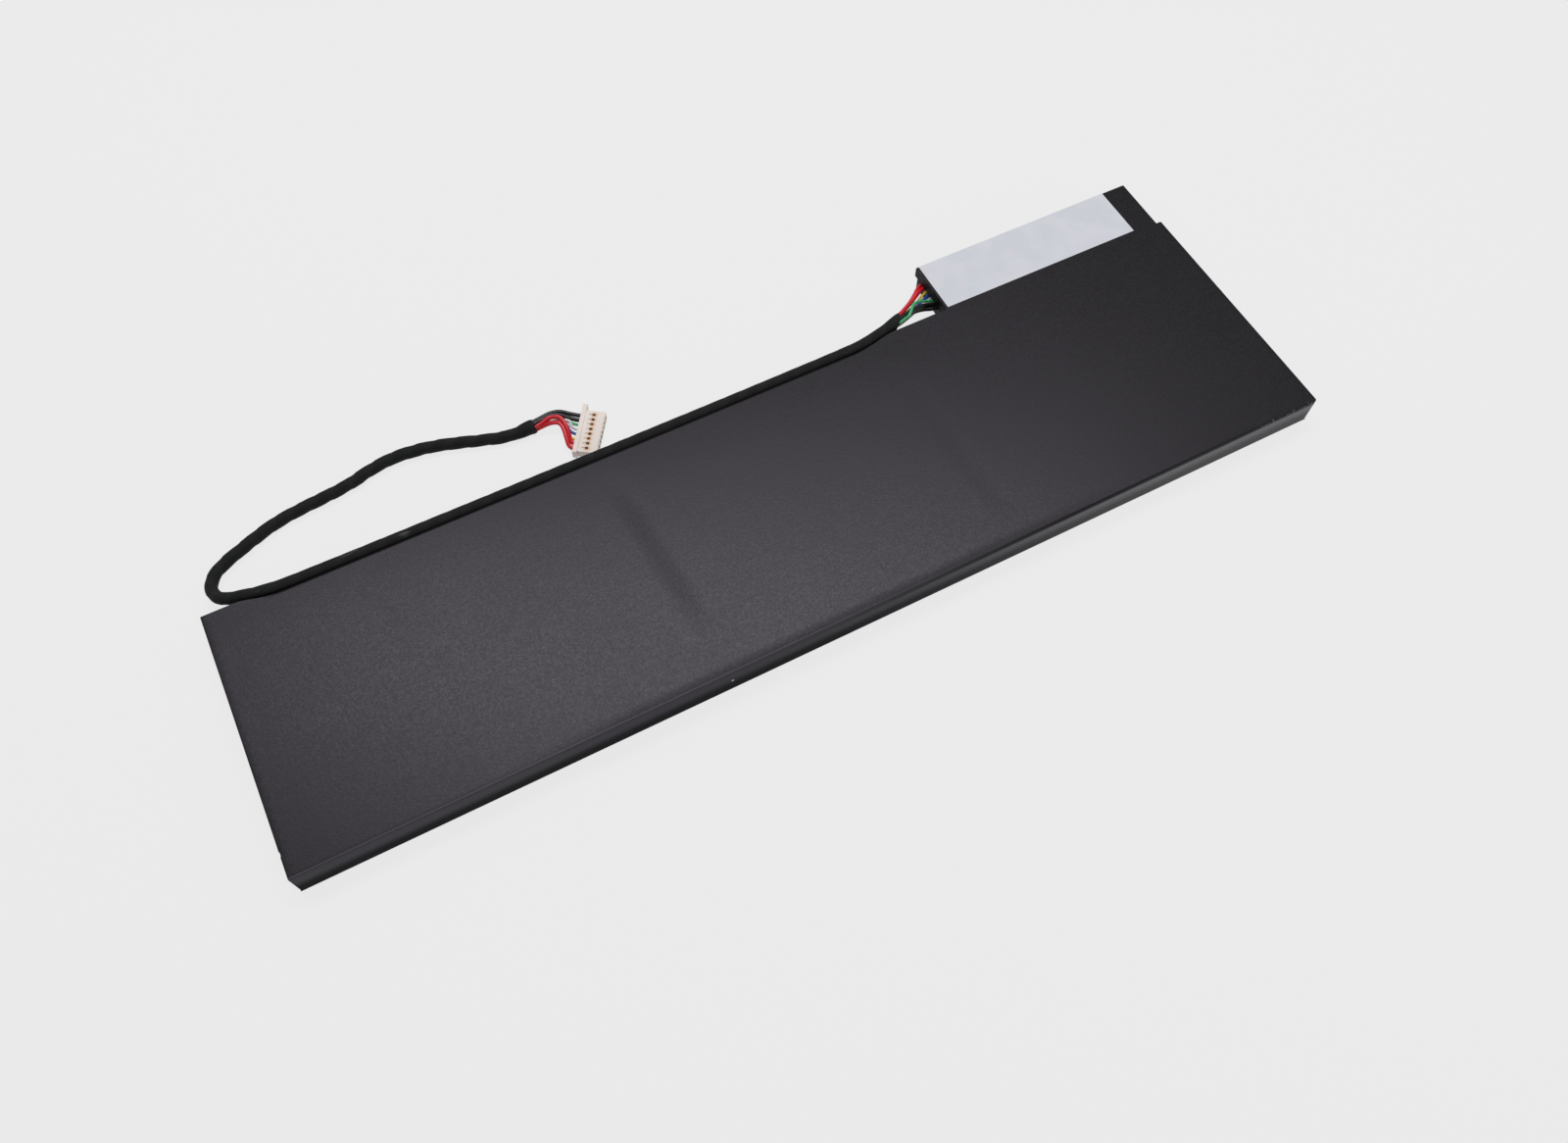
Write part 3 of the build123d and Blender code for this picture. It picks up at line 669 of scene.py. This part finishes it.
def add_piece(name, shape, finish, smooth=True):
    """Turns a bmesh in millimetres into an object at the origin, in metres."""
    bmesh.ops.scale(shape, vec=(MM, MM, MM), verts=shape.verts)
    mesh = bpy.data.meshes.new(name)
    shape.to_mesh(mesh)
    shape.free()
    mesh.materials.append(finish)
    mesh.polygons.foreach_set("use_smooth", [smooth] * len(mesh.polygons))
    piece = bpy.data.objects.new(name, mesh)
    scene.collection.objects.link(piece)
    return piece


film_piece = add_piece("film_skin", make_film(), film_finish)
skin = film_piece.modifiers.new("thickness", "SOLIDIFY")
skin.thickness = film_thickness * MM
skin.offset = -1.0
skin.use_even_offset = True
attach(film_piece, "root")
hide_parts("top_film")
print("film faces:", len(film_piece.data.polygons))

# %% [markdown]
# ## Cable and wires
# The eight wires run inside a sleeve of cloth tape, wound round them so that each turn laps over the
# last. The sleeve's line is a NURBS spline through the CAD route's own points, which bends as a real
# cable does. A tree of Geometry Nodes then sweeps a ring along the spline, raises the lap of the tape
# along a helix, adds lumps and opens the ends a little. The wires use the same tree with no lap.

# %% The route and the wires' points
route = [
    (53.7, 30.2, 7.0), (49.4, 28.95, 7.35), (44.0, 27.55, 7.55), (36.0, 26.35, 7.55),
    (-113.0, 26.45, 7.55), (-122.0, 27.15, 7.5), (-127.4, 28.95, 6.5), (-131.6, 31.25, 4.6),
    (-133.8, 34.65, 3.0), (-133.8, 38.45, 2.1), (-131.1, 42.05, 1.75), (-124.0, 45.15, 1.62),
    (-115.0, 48.65, 1.6), (-104.9, 49.95, 1.6), (-95.4, 50.85, 1.6), (-88.6, 52.95, 1.6),
    (-81.4, 53.95, 1.6), (-71.2, 52.45, 1.6), (-59.4, 48.25, 1.6), (-52.8, 46.15, 1.6),
    (-46.6, 46.25, 2.0),
]
wire_names = ("red_a", "red_b", "yellow", "blue", "white", "green", "black_a", "black_b")
wire_size = {name: 1.15 if name[-2:] in ("_a", "_b") else 0.82 for name in wire_names}
wire_pitch_board, wire_pitch_plug = 1.45, 1.5
first_pad_y, pad_top = 40.65, 3.83
pad_x, bay_mouth_x = 71.85, 66.75
turn_in_red, turn_in_other, in_window = -4.6, -5.35, -2.3
board_bundle = dict(zip(wire_names, (1, 2, 7, 6, 5, 4, 3, 0)))
board_bends = {
    "red_a": [(60.78, 35.1, 6.2)], "red_b": [(60.5, 34.35, 7.2)], "yellow": [(61.73, 34.42, 4.58)],
    "blue": [(62.51, 33.96, 4.92)], "white": [(64.0, 34.2, 3.8), (58.4, 31.6, 4.7)],
    "green": [(59.91, 33.19, 8.54), (56.62, 29.35, 8.42)], "black_a": [(62.11, 32.25, 6.61)],
    "black_b": [(61.08, 32.11, 5.46)],
}
plug_bundle = dict(zip(wire_names, (5, 4, 6, 7, 0, 1, 3, 2)))
plug_arches = {
    "red_a": [(-10.6, 1.2, 3.0), (-7.7, 1.3, 3.3), (-5.7, -2.8, 2.5)],
    "red_b": [(-11.0, 2.6, 3.6), (-7.9, 2.7, 3.9), (-5.4, -1.0, 2.9)],
    "yellow": [(-9.6, 3.0, 1.8), (-6.2, 0.8, 1.0)], "blue": [(-7.02, 2.96, 1.85)],
    "white": [(-5.93, 3.36, 2.8)],
    "green": [(-9.4, 4.9, 0.96)], "black_a": [(-10.2, 4.3, 3.1)], "black_b": [(-10.4, 5.7, 2.3)],
}
row_height = 1.45
bundle_radius = 1.07


def in_sleeve(direction, place):
    """Where a wire lies in the sleeve's open end: one in the middle and seven round it."""
    if place == 0:
        return Vector((0, 0, 0))
    side = Vector((0, 0, 1)).cross(direction).normalized()
    upward = direction.cross(side).normalized()
    angle = radians((place - 1) * 360 / 7)
    return side * (bundle_radius * cos(angle)) + upward * (bundle_radius * sin(angle))


def on_plug(point):
    return plug_centre + Matrix.Rotation(plug_turn, 3, "Z") @ Vector(point)


def board_wire_points(index, name):
    """From the pad on the board, through the bay's mouth and into the sleeve."""
    end, away = Vector(route[0]), (Vector(route[0]) - Vector(route[1])).normalized()
    y, z = first_pad_y - wire_pitch_board * index, pad_top + wire_size[name] / 2
    spot = end + in_sleeve(away, board_bundle[name])
    return [(pad_x, y, z), (bay_mouth_x, y, z)] + board_bends[name] + [spot + away * 0.9, spot - away * 1.2]


def plug_wire_points(index, name):
    """From the sleeve, over a loose arch and into the plug."""
    end, away = Vector(route[-1]), (Vector(route[-1]) - Vector(route[-2])).normalized()
    spot = end + in_sleeve(away, plug_bundle[name])
    y = (index - 3.5) * wire_pitch_plug
    turn_in = turn_in_red if name.startswith("red") else turn_in_other
    run = plug_arches[name] + [(turn_in, y, row_height), (in_window, y, row_height)]
    return [spot - away * 1.2, spot + away * 0.9] + [on_plug(point) for point in run]


def spline(name, points):
    """A NURBS curve of order 3 that starts and ends on its first and last points."""
    curve = bpy.data.curves.new(name, "CURVE")
    curve.dimensions = "3D"
    line = curve.splines.new("NURBS")
    line.points.add(len(points) - 1)
    for spot, point in zip(line.points, points):
        spot.co = (*(Vector(point) * MM), 1.0)
    line.order_u = 3
    line.use_endpoint_u = True
    line.resolution_u = 16
    holder = bpy.data.objects.new(name, curve)
    scene.collection.objects.link(holder)
    return holder


print("route points:", len(route), "wires:", len(wire_names))


# %% A tree that winds a skin round a line
class Tree:
    """A Geometry Nodes group with named inputs, built node by node."""

    def __init__(self, name, inputs):
        self.group = bpy.data.node_groups.new(name, "GeometryNodeTree")
        self.group.interface.new_socket("Geometry", in_out="INPUT", socket_type="NodeSocketGeometry")
        self.group.interface.new_socket("Geometry", in_out="OUTPUT", socket_type="NodeSocketGeometry")
        self.ids = {}
        for label, kind in inputs.items():
            made = self.group.interface.new_socket(label, in_out="INPUT", socket_type="NodeSocket" + kind)
            self.ids[label] = made.identifier
        self.start = self.group.nodes.new("NodeGroupInput")

    def given(self, label):
        return self.start.outputs[label]

    def node(self, kind, settings=None, sockets=None, out=0):
        made = self.group.nodes.new(kind)
        for key, value in (settings or {}).items():
            setattr(made, key, value)
        for key, value in (sockets or {}).items():
            if isinstance(value, bpy.types.NodeSocket):
                self.group.links.new(value, made.inputs[key])
            else:
                made.inputs[key].default_value = value
        return made.outputs[out]

    def sum(self, operation, first, second):
        return self.node("ShaderNodeMath", {"operation": operation}, {0: first, 1: second})

    def ramp(self, value, low, high, start, end):
        limits = {0: value, 1: low, 2: high, 3: start, 4: end}
        return self.node("ShaderNodeMapRange", {"interpolation_type": "SMOOTHSTEP"}, limits)

    def keep(self, geometry, name, value):
        settings = {"data_type": "FLOAT", "domain": "POINT"}
        stored = {"Geometry": geometry, "Name": name, "Value": value}
        return self.node("GeometryNodeStoreNamedAttribute", settings, stored)

    def read(self, name):
        return self.node("GeometryNodeInputNamedAttribute", {"data_type": "FLOAT"}, {"Name": name})

    def end(self, geometry):
        joined = self.node("GeometryNodeRealizeInstances", None, {0: geometry})
        dressed = {"Geometry": joined, "Material": self.given("Finish")}
        made = self.node("GeometryNodeSetMaterial", None, dressed)
        self.group.links.new(made, self.group.nodes.new("NodeGroupOutput").inputs[0])


def winding_tree():
    sizes = ("Diameter", "Step", "Lap height", "Lap pitch", "Lumps", "Flare", "Smooth until")
    kinds = dict({label: "Float" for label in sizes}, Sides="Int", Finish="Material")
    tree = Tree("wound_skin", kinds)
    line = tree.node("GeometryNodeResampleCurve", {"mode": "LENGTH"},
                     {"Curve": tree.given("Geometry"), "Length": tree.given("Step")})
    run = tree.node("GeometryNodeSplineParameter", out="Length")
    line = tree.keep(line, "along", run)
    circle = {"Resolution": tree.given("Sides"), "Radius": 1.0}
    ring = tree.node("GeometryNodeCurvePrimitiveCircle", {"mode": "RADIUS"}, circle)
    ring = tree.keep(ring, "around", tree.node("GeometryNodeSplineParameter", out="Factor"))
    half = tree.sum("MULTIPLY", tree.given("Diameter"), 0.5)
    swept = {"Curve": line, "Profile Curve": ring, "Fill Caps": True, "Scale": half}
    tube = tree.node("GeometryNodeCurveToMesh", None, swept)
    along, around = tree.read("along"), tree.read("around")
    turns = tree.sum("ADD", tree.sum("DIVIDE", along, tree.given("Lap pitch")), around)
    saw = tree.node("ShaderNodeMath", {"operation": "FRACT"}, {0: turns})
    rise = tree.ramp(saw, 0.0, 0.16, 0.0, 1.0)
    fall = tree.ramp(saw, 0.55, 1.0, 1.0, 0.0)
    lap = tree.sum("MULTIPLY", rise, fall)
    smooth_end = tree.given("Smooth until")
    loose = tree.ramp(along, smooth_end, tree.sum("ADD", smooth_end, 0.02), 0.35, 1.0)
    noise = tree.node("ShaderNodeTexNoise", None, {"Scale": 210.0, "Detail": 2.0})
    bumps = tree.sum("MULTIPLY", tree.sum("SUBTRACT", noise, 0.5), tree.given("Lumps"))
    raised = tree.sum("ADD", tree.sum("MULTIPLY", lap, tree.given("Lap height")), bumps)
    raised = tree.sum("MULTIPLY", raised, loose)
    total = tree.node("GeometryNodeCurveLength", None, {0: tree.given("Geometry")})
    left_over = tree.sum("SUBTRACT", total, along)
    nearest = tree.sum("MINIMUM", along, left_over)
    opened = tree.sum("MULTIPLY", tree.ramp(nearest, 0.0, 0.0065, 1.0, 0.0), tree.given("Flare"))
    raised = tree.sum("ADD", raised, opened)
    normal = tree.node("GeometryNodeInputNormal")
    push = tree.node("ShaderNodeVectorMath", {"operation": "SCALE"}, {0: normal, "Scale": raised})
    tube = tree.keep(tube, "lap", lap)
    moved = tree.node("GeometryNodeSetPosition", None, {"Geometry": tube, "Offset": push})
    soft = tree.node("GeometryNodeSetShadeSmooth", None, {"Geometry": moved, "Shade Smooth": True})
    tree.end(soft)
    return tree


winding = winding_tree()


def wound(name, points, finish, **sizes):
    """A plain mesh of the skin round a spline through the points, and the spline's own line."""
    holder = spline(name + "_line", points)
    bare = bpy.data.meshes.new_from_object(holder.evaluated_get(bpy.context.evaluated_depsgraph_get()))
    path = [v.co.copy() for v in bare.vertices]
    bpy.data.meshes.remove(bare)
    modifier = holder.modifiers.new("skin", "NODES")
    modifier.node_group = winding.group
    values = {"Lap height": 0.0, "Lap pitch": 1.0, "Lumps": 0.0, "Flare": 0.0, "Smooth until": 0.0}
    values.update(sizes, Finish=finish)
    for label, value in values.items():
        modifier[winding.ids[label]] = value
    graph = bpy.context.evaluated_depsgraph_get()
    mesh = bpy.data.meshes.new_from_object(holder.evaluated_get(graph), depsgraph=graph)
    mesh.name = name
    bpy.data.objects.remove(holder)
    piece = bpy.data.objects.new(name, mesh)
    scene.collection.objects.link(piece)
    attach(piece, "root")
    return piece, path


print("winding tree inputs:", sorted(winding.ids))

# %% The sleeve and the sixteen wire ends
longer_side = radians(27)


def slant_mouth(piece, reach=8.0 * MM, slope=1.0, set_back=1.0 * MM):
    """Cuts the sleeve's end at the bay aslant: longer over the red wires, shorter towards the film."""
    mouth = Vector(route[0]) * MM
    away = (Vector(route[0]) - Vector(route[1])).normalized()
    side = Vector((0, 0, 1)).cross(away).normalized()
    longer = side * cos(longer_side) + away.cross(side) * sin(longer_side)
    for vertex in piece.data.vertices:
        offset = vertex.co - mouth
        near = 1 + offset.dot(away) / reach
        if near > 0 and offset.length < 2 * reach:
            vertex.co += away * near * (slope * offset.dot(longer) - set_back)


sleeve, sleeve_path = wound(
    "sleeve", route, tape_finish, Diameter=2.96 * MM, Step=0.45 * MM, Sides=22, Flare=0.34 * MM,
    **{"Lap height": 0.12 * MM, "Lap pitch": 5.4 * MM, "Lumps": 0.26 * MM, "Smooth until": 0.168},
)
slant_mouth(sleeve)
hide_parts("cable_sleeve")
wire_ends = (
    ("board_lead_", "board_wire_", board_wire_points),
    ("plug_lead_", "plug_wire_", plug_wire_points),
)
for index, name in enumerate(wire_names):
    colour = name.split("_")[0]
    for start, node, points in wire_ends:
        wire, _ = wound(start + name, points(index, name), wire_finishes[colour],
                        Diameter=wire_size[name] * MM, Step=0.4 * MM, Sides=14)
        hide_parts(node + name)

# %% [markdown]
# ## The plug
# The plug is a small ivory moulding with a longer flange where the wires go in and a row of windows
# that show the contacts. Its CAD solid already has every opening. A copy of that mesh, welded so that
# its edges are shared, takes a small bevel, because moulded edges are never razor sharp.


# %% Soften the plug's edges
def softened(name, node, finish, width):
    shape = bmesh.new()
    shape.from_mesh(nodes[node].data)
    bmesh.ops.remove_doubles(shape, verts=shape.verts, dist=0.002 * MM)
    bmesh.ops.dissolve_limit(shape, angle_limit=radians(1), verts=shape.verts, edges=shape.edges)
    bmesh.ops.scale(shape, vec=(1 / MM, 1 / MM, 1 / MM), verts=shape.verts)
    piece = add_piece(name, shape, finish, False)
    bevel = piece.modifiers.new("soft edges", "BEVEL")
    bevel.width = width * MM
    bevel.segments = 2
    bevel.limit_method = "ANGLE"
    bevel.angle_limit = radians(40)
    bevel.use_clamp_overlap = True
    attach(piece, "root")
    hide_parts(node)
    return piece


plug = softened("plug_moulding", "plug_housing", nylon_finish, 0.1)
print("plug faces:", len(plug.data.polygons))

# %% [markdown]
# ## The cable's length
# The photograph shows the cable from the bay to the plug, so its length is the length of that line,
# summed here along the sleeve's spline.

sleeve_length = sum((b - a).length for a, b in zip(sleeve_path, sleeve_path[1:]))
print("cable line", round(sleeve_length, 4), "metres, points", len(sleeve_path))
